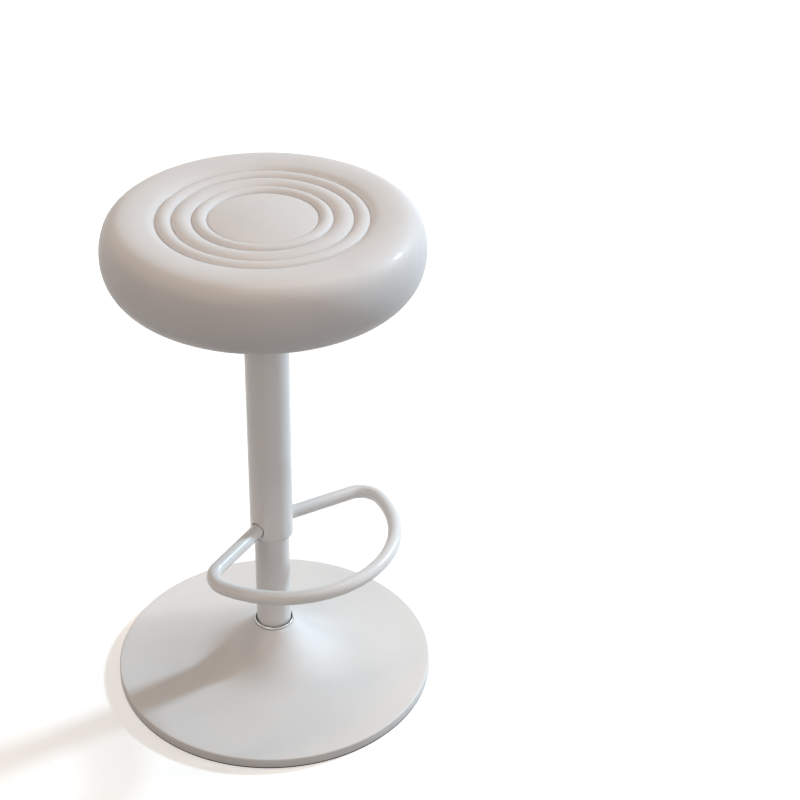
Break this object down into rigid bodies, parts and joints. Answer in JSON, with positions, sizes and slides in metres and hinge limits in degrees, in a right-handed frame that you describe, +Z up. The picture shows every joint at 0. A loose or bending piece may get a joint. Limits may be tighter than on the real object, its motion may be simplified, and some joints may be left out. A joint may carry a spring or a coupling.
{
  "type": "bar stool",
  "caption": "Height-adjustable round bar stool with a padded seat of concentric channels, a telescopic column with a loop footrest and a trumpet base.",
  "frame": {"origin": "on the floor at the column's axis, which is also the centre of the round base", "axes": "+Z up along the column, -Y towards the front, where the footrest loop points, +X to the stool's side"},
  "size_m": [0.4, 0.4, 0.6498],
  "materials": {
    "white_paint": "satin",
    "seat_leather": "satin",
    "seat_foam": "matte",
    "plywood": "matte",
    "dust_cloth": "matte",
    "bright_collar": "polished",
    "zinc_steel": "satin",
    "raw_steel": "matte",
    "ballast_iron": "matte",
    "black_paint": "satin",
    "brass_valve": "satin",
    "black_rubber": "matte",
    "black_plastic": "matte",
    "white_plastic": "satin",
    "grey_plastic": "satin"
  },
  "bodies": {
    "base": {"base_dish": "white_paint", "floor_ring": "black_rubber", "ballast_plate": "ballast_iron", "base_flange": "raw_steel", "base_screws": "zinc_steel", "column_collar": "bright_collar", "stand_tube": "white_paint", "tube_end_plug": "raw_steel", "lower_race": "zinc_steel", "ball_cage": "black_plastic", "thrust_balls": "zinc_steel", "stand_tube_bush": "black_plastic"},
    "rod": {"piston_rod": "bright_collar", "rod_clip": "zinc_steel", "upper_race": "zinc_steel", "bump_stop": "black_rubber", "piston": "zinc_steel", "piston_seal": "black_rubber"},
    "seat": {"gas_cylinder": "black_paint", "rod_guide": "black_plastic", "rod_seal": "black_rubber", "valve_body": "brass_valve", "column_sleeve": "white_paint", "sleeve_end_ring": "white_plastic", "sleeve_guide_ring": "black_plastic", "sleeve_top_ring": "white_plastic", "footrest_bar": "white_paint", "taper_socket": "black_paint", "lever_bracket": "black_paint", "lever_pivot_pin": "zinc_steel", "seat_plate": "black_paint", "seat_screws": "zinc_steel", "tee_nuts": "zinc_steel", "seat_board": "plywood", "dust_cover": "dust_cloth", "seat_cover": "seat_leather", "seat_foam": "seat_foam"},
    "lever": {"lever_rod": "zinc_steel", "lever_handle": "grey_plastic"},
    "valve_pin": {"release_pin": "brass_valve"}
  },
  "joints": [
    {"name": "seat_swivel", "type": "hinge", "parent": "base", "child": "rod", "pos_m": [0, 0, 0.026], "axis": [0, 0, 1], "continuous": true},
    {"name": "seat_lift", "type": "slide", "parent": "rod", "child": "seat", "axis": [0, 0, 1], "range_m": [0, 0.2]},
    {"name": "lever_lift", "type": "hinge", "parent": "seat", "child": "lever", "pos_m": [0.02538, 0.01183, 0.5466], "axis": [0.4226, -0.9063, 0], "range_deg": [0, 8], "stiffness_Nm_per_rad": 1.2, "springref_deg": -2.86},
    {"name": "valve_pin_travel", "type": "slide", "parent": "seat", "child": "valve_pin", "axis": [0, 0, -1], "range_m": [0, 0.004]}
  ],
  "couplings": [
    {"joint": "valve_pin_travel", "follows": "lever_lift", "m_per_rad": 0.028}
  ]
}
